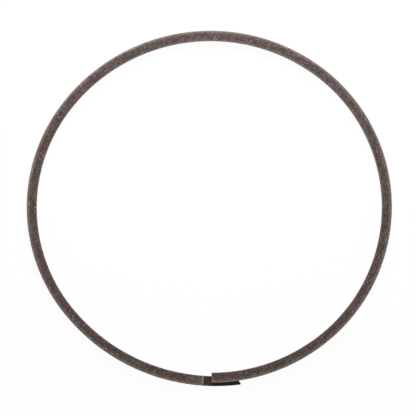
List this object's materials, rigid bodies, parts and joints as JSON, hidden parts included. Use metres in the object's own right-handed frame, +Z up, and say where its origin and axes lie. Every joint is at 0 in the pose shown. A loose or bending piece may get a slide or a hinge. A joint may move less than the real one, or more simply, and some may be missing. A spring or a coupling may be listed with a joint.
{
  "type": "piston seal ring",
  "caption": "Slender split ring with a near-square section, cut by a step joint whose two half-height tongues overlap; a little oval in its free state.",
  "frame": {"origin": "middle of the free ring's oval, on the plane that the ring lies on", "axes": "+Z up through the ring, +X along the free ring's long way, the joint on the -Y side"},
  "size_m": [0.092, 0.0897, 0.0024],
  "materials": {
    "filled_ptfe": "matte, mottled grey-brown filled plastic, smoother and darker on the cut faces of the joint"
  },
  "bodies": {
    "root": {"seal_ring": "filled_ptfe"}
  },
  "joints": []
}
